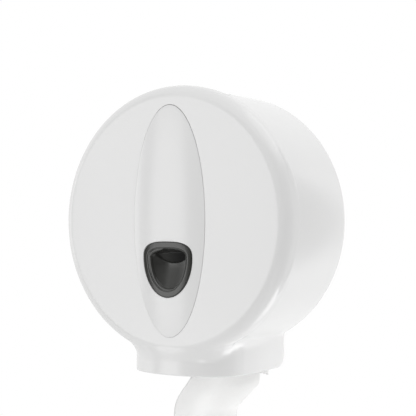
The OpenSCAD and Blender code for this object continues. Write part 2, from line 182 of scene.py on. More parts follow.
def grid_piece(name, rows, ring=True, loop=False, cap_start=False, cap_end=False):
    """Quads through rows of points.

    ring joins each row's ends, loop joins the last row to the first, and a cap closes a row onto its middle.
    """
    rows = np.asarray(rows, float)
    count, columns = rows.shape[:2]
    points = rows.reshape(-1, 3)
    index = np.arange(count * columns).reshape(count, columns)
    a, b = (index, np.roll(index, -1, 0)) if loop else (index[:-1], index[1:])
    c, d = np.roll(a, -1, 1), np.roll(b, -1, 1)
    quads = np.stack([a, c, d, b], -1)
    if not ring:
        quads = quads[:, :-1]
    faces = quads.reshape(-1, 4).tolist()
    for wanted, row, turn in ((cap_start, index[0], 1), (cap_end, index[-1], -1)):
        if wanted:
            middle = len(points)
            points = np.vstack([points, points[row].mean(0)])
            for i, j in zip(row, np.roll(row, -1)):
                faces.append([int(j), int(i), middle][::turn])
    return outward_piece(name, points, faces)


def dress(piece, material, slot, body, *stands_for):
    """Gives a piece its material and body, and hides the CAD nodes that it stands for; the slot argument is not used.
    """
    piece.data.materials.clear()
    piece.data.materials.append(material)
    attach(piece, body)
    if stands_for:
        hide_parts(*stands_for)
    return piece


# ---------------------------------------------------------------- materials
def noise(nodes, links, vector, scale, detail=2.0, roughness=0.5):
    n = nodes.new("ShaderNodeTexNoise")
    n.inputs["Scale"].default_value = scale
    n.inputs["Detail"].default_value = detail
    n.inputs["Roughness"].default_value = roughness
    links.new(vector, n.inputs["Vector"])
    return n.outputs["Fac"]


def ramp(nodes, links, value, low, high, start=0.35, end=0.65):
    """A value between two colours or two greys."""
    r = nodes.new("ShaderNodeValToRGB")
    for stop, place, tone in zip(r.color_ramp.elements, (start, end), (low, high)):
        stop.position = place
        stop.color = tuple(tone) + (1,) if hasattr(tone, "__len__") else (tone,) * 3 + (1,)
    links.new(value, r.inputs["Fac"])
    return r.outputs["Color"]


def scaled(nodes, links, vector, size):
    m = nodes.new("ShaderNodeMapping")
    m.inputs["Scale"].default_value = size
    links.new(vector, m.inputs["Vector"])
    return m.outputs["Vector"]


def bump(nodes, links, height, strength, distance, normal=None):
    b = nodes.new("ShaderNodeBump")
    b.inputs["Strength"].default_value = strength
    b.inputs["Distance"].default_value = distance
    links.new(height, b.inputs["Height"])
    if normal is not None:
        links.new(normal, b.inputs["Normal"])
    return b.outputs["Normal"]


def start_material(name):
    m = bpy.data.materials.new(name)
    m.use_nodes = True
    nodes, links = m.node_tree.nodes, m.node_tree.links
    shader = nodes["Principled BSDF"]
    vector = nodes.new("ShaderNodeTexCoord").outputs["Object"]
    return m, nodes, links, shader, vector


def plastic(name, dark, light, rough=(0.26, 0.3), grain=900.0, ior=1.47, wear=0.06):
    """Moulded plastic: faint cloudiness, fine texture, gloss that varies and edges that are rubbed."""
    m, nodes, links, shader, vector = start_material(name)
    cloud = noise(nodes, links, vector, 14.0, 3.0)
    colour = ramp(nodes, links, cloud, dark, light, 0.25, 0.75)
    edge = nodes.new("ShaderNodeNewGeometry").outputs["Pointiness"]
    rub = ramp(nodes, links, edge, 0.0, wear, 0.52, 0.62)
    mix = nodes.new("ShaderNodeMixRGB")
    mix.blend_type = "ADD"
    mix.inputs[0].default_value = 1.0
    links.new(colour, mix.inputs[1])
    links.new(rub, mix.inputs[2])
    links.new(mix.outputs[0], shader.inputs["Base Color"])
    handled = noise(nodes, links, vector, 60.0, 4.0)
    links.new(ramp(nodes, links, handled, *rough, 0.2, 0.8), shader.inputs["Roughness"])
    skin = bump(nodes, links, noise(nodes, links, vector, grain, 2.0), 0.03, 0.00003)
    flow = bump(nodes, links, noise(nodes, links, vector, 9.0, 1.0), 0.02, 0.0002, skin)
    links.new(flow, shader.inputs["Normal"])
    shader.inputs["IOR"].default_value = ior
    return m


def between_depths(m, deep, shallow, at_shallow, at_deep):
    """A value that runs between two planes of the object's Y, in millimetres from the wall."""
    nodes, links = m.node_tree.nodes, m.node_tree.links
    split = nodes.new("ShaderNodeSeparateXYZ")
    links.new(nodes["Texture Coordinate"].outputs["Object"], split.inputs[0])
    share = nodes.new("ShaderNodeMapRange")
    for name, value in (("From Min", -shallow * MM), ("From Max", -deep * MM),
                        ("To Min", at_shallow), ("To Max", at_deep)):
        share.inputs[name].default_value = value
    links.new(split.outputs["Y"], share.inputs["Value"])
    return nodes, links, nodes["Principled BSDF"], share.outputs[0]


def matt_below(m, deep, shallow, rough):
    """A finely textured surface deeper than a plane, glossy in front of it."""
    nodes, links, shader, share = between_depths(m, deep, shallow, 0.0, 1.0)
    mix = nodes.new("ShaderNodeMix")
    mix.data_type = "FLOAT"
    links.new(share, mix.inputs[0])
    links.new(shader.inputs["Roughness"].links[0].from_socket, mix.inputs[2])
    mix.inputs[3].default_value = rough
    links.new(mix.outputs[0], shader.inputs["Roughness"])


def painted_depth_shade(m, deep, shallow, least):
    """Painted shade: a colour that gets darker with depth, standing in for the shade deep in a recess of the plastic.
    """
    nodes, links, shader, share = between_depths(m, deep, shallow, 1.0, least)
    times = nodes.new("ShaderNodeVectorMath")
    times.operation = "SCALE"
    links.new(shader.inputs["Base Color"].links[0].from_socket, times.inputs[0])
    links.new(share, times.inputs["Scale"])
    links.new(times.outputs[0], shader.inputs["Base Color"])


def metal(name, dark, light, rough, stretch=(1.0, 1.0, 1.0), scale=400.0):
    """Metal with fine grain, which stretch draws out into brush marks."""
    m, nodes, links, shader, vector = start_material(name)
    fine = noise(nodes, links, scaled(nodes, links, vector, stretch), scale, 3.0)
    links.new(ramp(nodes, links, fine, dark, light), shader.inputs["Base Color"])
    links.new(ramp(nodes, links, noise(nodes, links, vector, 90.0, 3.0), *rough), shader.inputs["Roughness"])
    links.new(bump(nodes, links, fine, 0.08, 0.0001), shader.inputs["Normal"])
    shader.inputs["Metallic"].default_value = 1.0
    return m


def felt_material():
    m, nodes, links, shader, vector = start_material("felt_grey")
    hair = noise(nodes, links, scaled(nodes, links, vector, (1, 3, 1)), 1800.0, 4.0)
    links.new(ramp(nodes, links, hair, (0.05, 0.05, 0.052), (0.13, 0.13, 0.135)), shader.inputs["Base Color"])
    links.new(bump(nodes, links, hair, 0.6, 0.0005), shader.inputs["Normal"])
    links.new(ramp(nodes, links, hair, 0.85, 0.98), shader.inputs["Roughness"])
    shader.inputs["Sheen Weight"].default_value = 0.3
    return m


def cardboard_material():
    m, nodes, links, shader, vector = start_material("core_board")
    fibre = noise(nodes, links, scaled(nodes, links, vector, (1, 0.35, 1)), 700.0, 5.0, 0.7)
    links.new(ramp(nodes, links, fibre, (0.27, 0.2, 0.13), (0.47, 0.37, 0.26), 0.3, 0.7), shader.inputs["Base Color"])
    links.new(bump(nodes, links, fibre, 0.4, 0.0003), shader.inputs["Normal"])
    links.new(ramp(nodes, links, fibre, 0.8, 0.95), shader.inputs["Roughness"])
    return m


def tissue_material(name, wound):
    """Soft tissue: fibres and a fine embossed dot pattern.

    Light comes through the loose sheet, and a wound roll shows its turns on its ends.
    """
    m, nodes, links, shader, vector = start_material(name)
    fibre = noise(nodes, links, vector, 1100.0, 4.0, 0.65)
    colour = ramp(nodes, links, fibre, (0.93, 0.93, 0.926), (0.97, 0.97, 0.967), 0.3, 0.7)
    links.new(colour, shader.inputs["Base Color"])
    links.new(ramp(nodes, links, fibre, 0.82, 0.95), shader.inputs["Roughness"])
    soft = bump(nodes, links, fibre, 0.25, 0.0003)
    if wound:
        turns = nodes.new("ShaderNodeTexWave")
        turns.wave_type, turns.rings_direction = "RINGS", "Y"
        turns.inputs["Scale"].default_value = 260.0
        turns.inputs["Distortion"].default_value = 1.2
        turns.inputs["Detail"].default_value = 2.0
        links.new(vector, turns.inputs["Vector"])
        soft = bump(nodes, links, turns.outputs["Fac"], 0.5, 0.0006, soft)
    dots = nodes.new("ShaderNodeTexVoronoi")
    dots.inputs["Scale"].default_value = 330.0
    dots.inputs["Randomness"].default_value = 0.25
    links.new(vector, dots.inputs["Vector"])
    pressed = bump(nodes, links, dots.outputs["Distance"], 0.35, 0.0004, soft)
    links.new(pressed, shader.inputs["Normal"])
    shader.inputs["Sheen Weight"].default_value = 0.15
    shader.inputs["Specular IOR Level"].default_value = 0.2
    if not wound:
        through = nodes.new("ShaderNodeBsdfTranslucent")
        through.inputs["Color"].default_value = (0.97, 0.97, 0.965, 1)
        links.new(pressed, through.inputs["Normal"])
        mix = nodes.new("ShaderNodeMixShader")
        mix.inputs[0].default_value = 0.45
        links.new(shader.outputs[0], mix.inputs[1])
        links.new(through.outputs[0], mix.inputs[2])
        links.new(mix.outputs[0], nodes["Material Output"].inputs["Surface"])
    return m


WHITE_DARK, WHITE_LIGHT = (0.806, 0.806, 0.804), (0.814, 0.814, 0.812)
cover_white = plastic("cover_white", WHITE_DARK, WHITE_LIGHT, rough=(0.17, 0.2), wear=0.02)
insert_white = plastic("insert_white", WHITE_DARK, WHITE_LIGHT, rough=(0.18, 0.21), wear=0.02)
inner_white = plastic("inner_white", (0.72, 0.72, 0.715), (0.77, 0.77, 0.765),
                      rough=(0.4, 0.52), grain=500.0, wear=0.04)
blade_white = plastic("blade_white", (0.76, 0.76, 0.755), (0.8, 0.8, 0.795),
                      rough=(0.35, 0.45), grain=600.0, wear=0.04)
smoked = plastic("smoked_glaze", (0.032, 0.0325, 0.0298), (0.038, 0.0385, 0.0355),
                 rough=(0.13, 0.19), ior=1.53, wear=0.01)
matt_below(smoked, COVER_DEPTH + 0.9, COVER_DEPTH + 2.2, rough=0.32)
# painted shade: the smoked plastic's colour darkens deep in the scoop's pocket, standing in for the shade there
painted_depth_shade(smoked, COVER_DEPTH - 8.5, COVER_DEPTH - 4.6, least=0.15)
zinc = metal("zinc_steel", (0.5, 0.5, 0.51), (0.63, 0.63, 0.64), (0.28, 0.42))
brushed = metal("brushed_steel", (0.5, 0.5, 0.51), (0.66, 0.66, 0.665), (0.3, 0.45), (1.0, 0.06, 1.0), 900.0)
nickel = metal("lock_nickel", (0.66, 0.66, 0.66), (0.76, 0.76, 0.755), (0.12, 0.24), (1, 1, 0.2))
felt = felt_material()
cardboard = cardboard_material()
tissue = tissue_material("tissue_sheet", wound=False)
tissue_roll = tissue_material("tissue_roll", wound=True)

CAD_LOOKS = {
    "back_plate": inner_white, "spindle_post": inner_white, "hub_cap": inner_white, "roll_hub": inner_white,
    "window_clip": inner_white, "cover_shell": cover_white, "front_insert": insert_white, "level_window": smoked,
    "tear_blade_left": blade_white, "tear_blade_right": blade_white, "brake_washer": felt,
    "core_tube": cardboard, "paper_roll": tissue_roll, "paper_tail": tissue,
    "catch_plate": brushed, "hinge_pin_left": zinc, "hinge_pin_right": zinc, "post_screws": zinc,
    "cap_screw": zinc, "catch_screws": zinc, "blade_rivets": zinc, "cam_screw": zinc, "lock_cam": brushed,
    "lock_housing": nickel, "lock_nut": nickel, "lock_plug": nickel,
}
for node, look in CAD_LOOKS.items():
    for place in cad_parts[node].material_slots:
        place.material = look

# ---------------------------------------------------------------- the cover's outside form
side_profile = np.vstack([
    [[RIM_R, BEHIND_WALL], [RIM_R, WALL_GAP]],
    arc(CREASE_R, SHOULDER_H, CAP_R - CREASE_R, LIP_D, -90, 0, 12),
    arc(RING_R, SHOULDER_H, SHOULDER_W, SHOULDER_D, 0, 90, 40)[1:],
    [[PAST_AXIS, COVER_DEPTH], [PAST_AXIS, BEHIND_WALL]],
])
inner_profile = np.vstack([
    [[RIM_R - WALL, BEHIND_WALL]],
    arc(RING_R, SHOULDER_H, CREASE_R - WALL - RING_R, SHOULDER_D - WALL, 0, 90, 30),
    [[PAST_AXIS, FACE_INSIDE], [PAST_AXIS, BEHIND_WALL]],
])


def chute_half_width(h):
    return lerp(CHUTE_W, CHUTE_FRONT_W, np.clip(h / CHUTE_STRAIGHT, 0, 1))


def chute_plan(inset, count=60):
    """The chute's outline from above as [x, h] points."""
    a = np.radians(np.linspace(0, 90, count + 1))
    e = 2 / CHUTE_ROUND
    half = np.stack([(CHUTE_FRONT_W - inset) * np.cos(a) ** e,
                     CHUTE_STRAIGHT + (CHUTE_DEPTH - CHUTE_STRAIGHT - inset) * np.sin(a) ** e], 1)
    left = half[-2::-1] * [-1, 1]
    return np.vstack([[[CHUTE_W - inset, BEHIND_WALL]], half, left, [[-(CHUTE_W - inset), BEHIND_WALL]]])


def unit(v):
    return v / np.maximum(np.linalg.norm(v, axis=1), 1e-9)[:, None]


def drum_normal(r, h, radial):
    """Smooth outward direction of the drum near its shoulder."""
    n_r = np.where(h < SHOULDER_H, 1.0, np.maximum(r - RING_R, 0) / SHOULDER_W ** 2)
    n_h = np.where(h < SHOULDER_H, 0.0, (h - SHOULDER_H) / SHOULDER_D ** 2)
    size = np.hypot(n_r, n_h)
    n_r, n_h = n_r / size, n_h / size
    return np.stack([n_r * radial[:, 0], -n_h, n_r * radial[:, 1]], 1)


def chute_normal(x, h):
    """Smooth outward direction of the chute's side and front."""
    reach = np.maximum(h - CHUTE_STRAIGHT, 0) / (CHUTE_DEPTH - CHUTE_STRAIGHT)
    n_x = np.sign(x) * (np.abs(x) / CHUTE_FRONT_W) ** (CHUTE_ROUND - 1) / CHUTE_FRONT_W
    n_h = reach ** (CHUTE_ROUND - 1) / (CHUTE_DEPTH - CHUTE_STRAIGHT)
    return unit(np.stack([n_x, -n_h, np.zeros_like(n_x)], 1))


def cover_distance(p, drum, plan, fillet):
    """Distance to the drum joined to the chute, whose fillet narrows where the two surfaces run alongside."""
    r, h = np.hypot(p[:, 0], p[:, 2]), -p[:, 1]
    to_drum = polygon_distance(np.stack([r, h], 1), drum)
    to_chute = np.maximum(polygon_distance(np.stack([p[:, 0], h], 1), plan), p[:, 2] - CHUTE_TOP)
    radial = unit(p[:, [0, 2]])
    agree = (drum_normal(r, h, radial) * chute_normal(p[:, 0], h)).sum(1)
    size = fillet * np.clip(1 - agree, 1e-4, 1) ** FILLET_POWER * lerp(FILLET_REAR, 1.0, smooth(h / FILLET_FULL))
    a, b = np.maximum(size - to_drum, 0), np.maximum(size - to_chute, 0)
    return np.maximum(size, np.minimum(to_drum, to_chute)) - np.hypot(a, b)


CENTRE = np.array([0.0, -50.0, -20.0])   # rays are cast from here
REACH, HALVINGS = 260.0, 24


def cast(directions, drum, plan, fillet, centre=CENTRE):
    """Points where rays from inside leave the cover's form."""
    low, high = np.zeros(len(directions)), np.full(len(directions), REACH)
    for _ in range(HALVINGS):
        mid = (low + high) / 2
        outside = cover_distance(centre + directions * mid[:, None], drum, plan, fillet) > 0
        low, high = np.where(outside, low, mid), np.where(outside, mid, high)
    return centre + directions * low[:, None]


def to_angles(p):
    """Points as [turn round the depth axis from straight down, tilt from straight ahead], seen from CENTRE."""
    d = p - CENTRE
    return np.stack([np.arctan2(d[..., 0], -d[..., 2]), np.arctan2(np.hypot(d[..., 0], d[..., 2]), -d[..., 1])], -1)


def from_angles(a):
    """Directions from such angles."""
    turn, tilt = a[..., 0], a[..., 1]
    return np.stack([np.sin(tilt) * np.sin(turn), -np.cos(tilt), -np.sin(tilt) * np.cos(turn)], -1)


OUT_PLAN, IN_PLAN = chute_plan(0.0), chute_plan(WALL)


def resample(points, extras, count):
    """Evenly spaced points along a line of points, with what belongs to each."""
    step = np.r_[0, np.cumsum(np.linalg.norm(np.diff(points, axis=0), axis=1))]
    at = np.linspace(0, step[-1], count + 1)
    pick = lambda v: np.stack([np.interp(at, step, v[:, k]) for k in range(v.shape[1])], 1)
    return pick(points), [unit(pick(v)) for v in extras]


# The cover's open edge, right half: along the chute's front, its side, the rounded corner and the wall side
FRONT_COLUMNS, SIDE_COLUMNS, DRUM_COLUMNS = 44, 58, 68
SIDE_POINTS, CORNER_POINTS, REAR_POINTS = 30, 15, 39
FRONT_TURN, SECTOR_TURN = math.radians(24.0), math.radians(45.0)
front_edge = OUT_PLAN[np.argmax(OUT_PLAN[:, 1]):0:-1]
front_edge = front_edge[front_edge[:, 0] >= 0]
edge_front = np.stack([front_edge[:, 0], -front_edge[:, 1], np.full(len(front_edge), -CHUTE_DROP)], 1)
down, back_way = np.array([0.0, 0.0, -1.0]), np.array([0.0, 1.0, 0.0])
side_h = np.linspace(CHUTE_STRAIGHT, HINGE_H, SIDE_POINTS)
edge_side = np.stack([chute_half_width(side_h), -side_h, np.full(SIDE_POINTS, -CHUTE_DROP)], 1)
a = np.radians(np.linspace(0, 90, CORNER_POINTS + 1))[1:]
corner_drop = CHUTE_DROP + HINGE_Z
edge_corner = np.stack([chute_half_width(HINGE_H - CORNER * np.sin(a)), -HINGE_H + CORNER * np.sin(a),
                        HINGE_Z - corner_drop * np.cos(a)], 1)
corner_way = np.stack([np.zeros(CORNER_POINTS), np.sin(a), -np.cos(a)], 1)
rear_centre = np.array([0.0, -WALL_GAP, CENTRE[2]])
rear_from = math.atan2(CHUTE_W, -HINGE_Z + CENTRE[2])
rear_to = math.atan2(RIM_R * math.sin(SECTOR_TURN), RIM_R * math.cos(SECTOR_TURN) + CENTRE[2])
rear_turn = np.linspace(rear_from, rear_to, REAR_POINTS + 1)[1:]
rear_way = np.stack([np.sin(rear_turn), np.zeros(REAR_POINTS), -np.cos(rear_turn)], 1)
edge_rear = cast(rear_way, side_profile, OUT_PLAN, FILLET, rear_centre)


def rear_normal(points):
    """Outward direction of the edge in the plane of the wall."""
    step = np.gradient(points, axis=0)
    return unit(np.stack([step[:, 2], np.zeros(len(points)), -step[:, 0]], 1))


edge_two = np.vstack([edge_side, edge_corner, edge_rear])
normal_two = np.vstack([np.tile([1.0, 0, 0], (SIDE_POINTS + CORNER_POINTS, 1)), rear_normal(edge_rear)])
way_two = np.vstack([np.tile(down, (SIDE_POINTS, 1)), corner_way, np.tile(back_way, (REAR_POINTS, 1))])
normal_one = chute_normal(edge_front[:, 0], -edge_front[:, 1])
one, (one_n, one_w) = resample(edge_front, [normal_one, np.tile(down, (len(edge_front), 1))], FRONT_COLUMNS)
two, (two_n, two_w) = resample(edge_two, [normal_two, way_two], SIDE_COLUMNS)
drum_turn = np.linspace(SECTOR_TURN, math.pi, DRUM_COLUMNS + 1)[1:]
three = np.stack([RIM_R * np.sin(drum_turn), np.full(DRUM_COLUMNS, -WALL_GAP), -RIM_R * np.cos(drum_turn)], 1)
three_n = np.stack([np.sin(drum_turn), np.zeros(DRUM_COLUMNS), -np.cos(drum_turn)], 1)
three_w = np.tile(back_way, (DRUM_COLUMNS, 1))
half_turn = np.r_[np.linspace(0, FRONT_TURN, FRONT_COLUMNS + 1),
                  np.linspace(FRONT_TURN, SECTOR_TURN, SIDE_COLUMNS + 1)[1:], drum_turn]
half_edge = np.vstack([one, two[1:], three])
half_n, half_w = np.vstack([one_n, two_n[1:], three_n]), np.vstack([one_w, two_w[1:], three_w])
MIRROR = np.array([-1.0, 1.0, 1.0])


def both(half):
    """The right half's columns from the bottom to the top, then the left half's back down."""
    return np.vstack([half, half[-2:0:-1] * MIRROR])


turn = np.r_[half_turn, -half_turn[-2:0:-1]]
edge, edge_n, edge_w = both(half_edge), both(half_n), both(half_w)
COLUMNS = len(turn)


def round_row(r, h):
    """A ring round the drum's axis."""
    return np.stack([r * np.sin(turn), np.full(COLUMNS, -h), -r * np.cos(turn)], 1)


# ---------------------------------------------------------------- the cover as one closed skin
def outline(grow, count=360):
    """The window's outline as [x, z] points: a half oval below its widest line, a squarer curve above."""
    low = np.radians(np.linspace(180, 360, count // 2, endpoint=False))
    top = np.radians(np.linspace(0, 180, count // 2, endpoint=False))
    e = 2 / WINDOW_SQUARE
    below = np.stack([(WINDOW_W + grow) * np.cos(low), WINDOW_MID + (WINDOW_DOWN + grow) * np.sin(low)], 1)
    above = np.stack([(WINDOW_W + grow) * np.sign(np.cos(top)) * np.abs(np.cos(top)) ** e,
                      WINDOW_MID + (WINDOW_UP + grow) * np.sin(top) ** e], 1)
    return np.vstack([below, above])


def outline_towards(grow, targets):
    """The window outline's points in the directions of other points, seen from the window's middle."""
    ring = outline(grow) - WINDOW_CENTRE
    angle = np.unwrap(np.arctan2(ring[:, 1], ring[:, 0]))
    wanted = np.arctan2(*(targets - WINDOW_CENTRE).T[::-1])
    base = angle[0]
    wanted = base + np.mod(wanted - base, 2 * math.pi)
    angle, ring = np.r_[angle, base + 2 * math.pi], np.vstack([ring, ring[:1]])
    return WINDOW_CENTRE + np.stack([np.interp(wanted, angle, ring[:, k]) for k in (0, 1)], 1)


def flat(points, h):
    """[x, z] points at a distance h from the wall."""
    h = np.broadcast_to(h, len(points))
    return np.stack([points[:, 0], -h, points[:, 1]], 1)


def oval(grow):
    """The insert's outline as [x, z] points."""
    return np.stack([(INSERT_A + grow) * np.sin(turn), -(INSERT_B + grow) * np.cos(turn)], 1)


# From the hole behind the window, over the insert's seat and out to the rounded shoulder
seam = SEAM + SEAM_TOP * np.maximum(-np.cos(turn), 0) ** SEAM_POWER
rows = []
seam_in = oval(seam)
hole = outline_towards(SEAT_HOLE, seam_in)
for t in (0.0, 0.35, 0.7, 0.97):
    rows.append(flat(lerp(hole, seam_in, t), SEAT_H))
rows.append(flat(seam_in, SEAT_H))
rows.append(flat(seam_in, COVER_DEPTH - SEAM_ROUND - SEAT_SIDE))
for x, y in arc(SEAM_ROUND, COVER_DEPTH - SEAM_ROUND, SEAM_ROUND, SEAM_ROUND, 180, 90, 4):
    rows.append(flat(oval(seam + x), y))
seam_out = oval(seam + SEAM_ROUND)
ring_flat = round_row(RING_R, COVER_DEPTH)[:, [0, 2]]
for t in (0.03, 0.12, 0.26, 0.42, 0.58, 0.74, 0.88, 0.97):
    rows.append(flat(lerp(seam_out, ring_flat, t), COVER_DEPTH))

# The shoulder, the lip's straight taper and rounded edge, and the crease behind it
shoulder = arc(RING_R, SHOULDER_H, SHOULDER_W, SHOULDER_D, 90, LIP_FROM, 16)
lip_edge = np.array([CAP_R, CREASE_H + LIP_ROUND])
feature = [round_row(*p) for p in np.vstack([
    shoulder, lerp(shoulder[-1], lip_edge, 0.35), lerp(shoulder[-1], lip_edge, 0.7),
    arc(CAP_R - LIP_ROUND, CREASE_H + LIP_ROUND, LIP_ROUND, LIP_ROUND, 0, -84, 5),
    [[CREASE_R + 0.06, CREASE_H - 0.05], [CREASE_R, CREASE_H - 0.5]],
])]
crease_row = len(feature) - 1
SIDE_ROWS, ROW_STEP = 34, 0.0003
last = crease_row + SIDE_ROWS
edge_start = edge - EDGE_ROUND * edge_w
ring_angle, crease_angle, edge_angle = to_angles(feature[0]), to_angles(feature[-1]), to_angles(edge_start)
edge_angle[:, 0] = np.where(np.abs(turn - math.pi) < 1e-9, crease_angle[:, 0], edge_angle[:, 0])
PULL_TO, PULL_FADE = math.radians(21), math.radians(6)      # straight columns in front of the chute end here
OWN_FROM, OWN_FADE, OWN_DEPTH = math.radians(27), math.radians(9), 0.5   # and here the lip starts, clear of the fillet
pull = 1 - smooth((np.abs(turn) - PULL_TO) / PULL_FADE)


def cast_rows(aimed, direct, drum, plan, fillet):
    """Rows of points on the cover's form, pulled towards straight columns in front of the chute."""
    angles = lerp(np.array(aimed), np.array(direct), pull[:, None])
    found = cast(from_angles(angles).reshape(-1, 3), drum, plan, fillet)
    return found.reshape(angles.shape[0], COLUMNS, 3)


# Each row is aimed a little further out than the one before, so that none folds back under the lip
aimed = np.array([to_angles(row) for row in feature]
                 + [lerp(crease_angle, edge_angle, i / SIDE_ROWS) for i in range(1, SIDE_ROWS + 1)])
least = ROW_STEP * np.arange(len(aimed))[:, None]
aimed[..., 1] = np.maximum.accumulate(aimed[..., 1] - least) + least
direct = [lerp(ring_angle, edge_angle, i / last) for i in range(last + 1)]
outer = cast_rows(aimed, direct, side_profile, OUT_PLAN, FILLET)
own = np.array([smooth(1 + cover_distance(row, side_profile, OUT_PLAN, FILLET) / OWN_DEPTH) for row in feature])
own = own * smooth((np.abs(turn) - OWN_FROM) / OWN_FADE)
outer[:len(feature)] = lerp(outer[:len(feature)], np.array(feature), own[..., None])
outer[-1] = edge_start
rows += list(outer)

# Rim: rounded to the open edge, across it, and rounded to the inside
for x, y in arc(0, 0, EDGE_ROUND, EDGE_ROUND, 0, 90, 4)[1:]:
    rows.append(edge_start + (x - EDGE_ROUND) * edge_n + y * edge_w)
for x, y in arc(0, 0, EDGE_ROUND, EDGE_ROUND, 90, 0, 4):
    rows.append(edge_start - (WALL - EDGE_ROUND + x) * edge_n + y * edge_w)

# The inside, from the open edge back to the hole
inner_feature = [round_row(*p) for p in arc(RING_R, SHOULDER_H, CREASE_R - WALL - RING_R, SHOULDER_D - WALL, 0, 90, 7)]
inner_edge = edge_start - WALL * edge_n
inner_start, inner_ring = to_angles(inner_feature[0]), to_angles(inner_feature[-1])
inner_edge_angle = to_angles(inner_edge)
inner_edge_angle[:, 0] = np.where(np.abs(turn - math.pi) < 1e-9, inner_start[:, 0], inner_edge_angle[:, 0])
INNER_ROWS = 16
total = INNER_ROWS + len(inner_feature) - 1
rows += list(cast_rows(
    [lerp(inner_edge_angle, inner_start, i / INNER_ROWS) for i in range(1, INNER_ROWS)]
    + [to_angles(row) for row in inner_feature],
    [lerp(inner_edge_angle, inner_ring, i / total) for i in range(1, total + 1)],
    inner_profile, IN_PLAN, FILLET + WALL))
inner_flat = rows[-1][:, [0, 2]]
for t in (0.25, 0.5, 0.75, 0.97, 1.0):
    rows.append(flat(lerp(inner_flat, hole, t), FACE_INSIDE))
cover_skin = grid_piece("cover_skin", rows, loop=True)
dress(cover_skin, cover_white, "white_plastic", "cover", "cover_shell")

# Bosses that turn on the hinge pins, inside the chute
BOSS_COLUMNS = 48
around = np.linspace(0, 2 * math.pi, BOSS_COLUMNS, endpoint=False)
for side, name in ((1, "hinge_boss_right"), (-1, "hinge_boss_left")):
    profile = [(BORE_R, BOSS_X + 0.4), (BORE_R + 0.4, BOSS_X), (BOSS_R - 0.6, BOSS_X), (BOSS_R, BOSS_X + 0.6),
               (BOSS_R, CHUTE_W - WALL), (BOSS_R + 1.2, CHUTE_W - WALL + 0.4), (BORE_R, CHUTE_W - WALL + 0.4)]
    boss_rows = [np.stack([np.full(BOSS_COLUMNS, side * x),
                           -HINGE_H + r * np.cos(around), HINGE_Z + r * np.sin(around)], 1) for r, x in profile]
    dress(grid_piece(name, boss_rows, loop=True), cover_white, "white_plastic", "cover")


# ---------------------------------------------------------------- front insert
def insert_h(points):
    """The insert's face: a dome whose edge stands a little proud of the cover."""
    reach = np.minimum((points[:, 0] / INSERT_A) ** 2 + (points[:, 1] / INSERT_B) ** 2, 1)
    return COVER_DEPTH + INSERT_RISE + INSERT_CROWN * (1 - reach ** INSERT_DOME)


def rim_h(points):
    """The window's rim: proud of the insert, and a little flatter than its dome."""
    return lerp(insert_h(points), RIM_LEVEL, RIM_FLAT) + RIM_PROUD


rows = [flat(outline_towards(COLLAR_GAP, oval(0.0)), INSERT_BACK)]
for grow, below in ((0.0, 0.55), (0.03, 0.42), (COLLAR_ROUND, 0.36), (COLLAR_W - COLLAR_ROUND, 0.36), (COLLAR_W, 0.5)):
    ring = outline_towards(COLLAR_GAP + grow, oval(0.0))
    rows.append(flat(ring, np.maximum(rim_h(ring) - below, insert_h(ring) + 0.02 - 0.1 * below)))
hole_out = outline_towards(COLLAR_GAP + COLLAR_W + 0.08, oval(0.0))
rows.append(flat(hole_out, insert_h(hole_out)))
for t in (0.02, 0.06, 0.12, 0.2, 0.28, 0.36, 0.44, 0.52, 0.6, 0.68, 0.76, 0.83, 0.89, 0.94, 0.975):
    p = lerp(hole_out, oval(-SEAM_ROUND), t)
    rows.append(flat(p, insert_h(p)))
top_edge = insert_h(oval(-SEAM_ROUND))
for x, y in arc(0, 0, SEAM_ROUND, SEAM_ROUND, 90, 0, 4):
    rows.append(flat(oval(x - SEAM_ROUND), top_edge + y - SEAM_ROUND))
rows.append(flat(oval(0.0), INSERT_BACK))
dress(grid_piece("insert_skin", rows, loop=True), insert_white, "white_plastic", "cover", "front_insert")

# ---------------------------------------------------------------- smoked window with a finger scoop
WINDOW_COLUMNS = 144
bearing = np.radians(np.arange(WINDOW_COLUMNS) * 360 / WINDOW_COLUMNS)
aim = WINDOW_CENTRE + 100 * np.stack([np.cos(bearing), np.sin(bearing)], 1)
up_share = np.clip(np.sin(bearing), 0, 1)


def window_row(grow, h):
    return flat(outline_towards(grow, aim), h)


def domed_row(grow, below):
    """A ring on the rim, which follows the insert's dome."""
    ring = outline_towards(grow, aim)
    return flat(ring, rim_h(ring) - below)


def soft_max(a, b, size):
    """The larger of two values, rounded where they cross."""
    return (a + b + np.sqrt((a - b) ** 2 + size ** 2)) / 2


def scoop_h(points, wall_h):
    """The finger scoop: a hollow floor that is deepest below the top edge, with a deeper pocket above that line."""
    x, z = points.T
    below, above = np.maximum(SCOOP_FLOOR_Z - z, 0), np.maximum(z - SCOOP_FLOOR_Z, 0)
    ramp_h = FLOOR_SLOPE * (np.hypot(below, FLOOR_EASE) - FLOOR_EASE)
    h = SCOOP_FLOOR_H + ramp_h + np.where(x < 0, *FLOOR_HOLLOW) * x ** 2 + FLOOR_BACK * above ** 2
    q = ((x - POCKET[0]) / POCKET_W) ** 2 + ((z - POCKET[1]) / POCKET_H) ** 2
    pocket = np.minimum(h, POCKET_FLOOR - POCKET_TURN * x)
    h = lerp(h, pocket, smooth((1 - q) / POCKET_EDGE))
    return soft_max(h, wall_h, SCOOP_BLEND)


rows = [window_row(0.0, FACE_INSIDE + 0.2), domed_row(0.0, RIM_ROUND + 0.5)]
rows += [domed_row(x - RIM_ROUND, RIM_ROUND - y) for x, y in arc(0, 0, RIM_ROUND, RIM_ROUND, 0, 90, 4)]
rows += [domed_row(-g, d) for g, d in (
    (1.3, 0.0), (2.4, 0.0), (3.6, 0.0), (RIM_W - 0.8, 0.01), (RIM_W - 0.4, 0.06), (RIM_W - 0.15, 0.2), (RIM_W, GROOVE))]
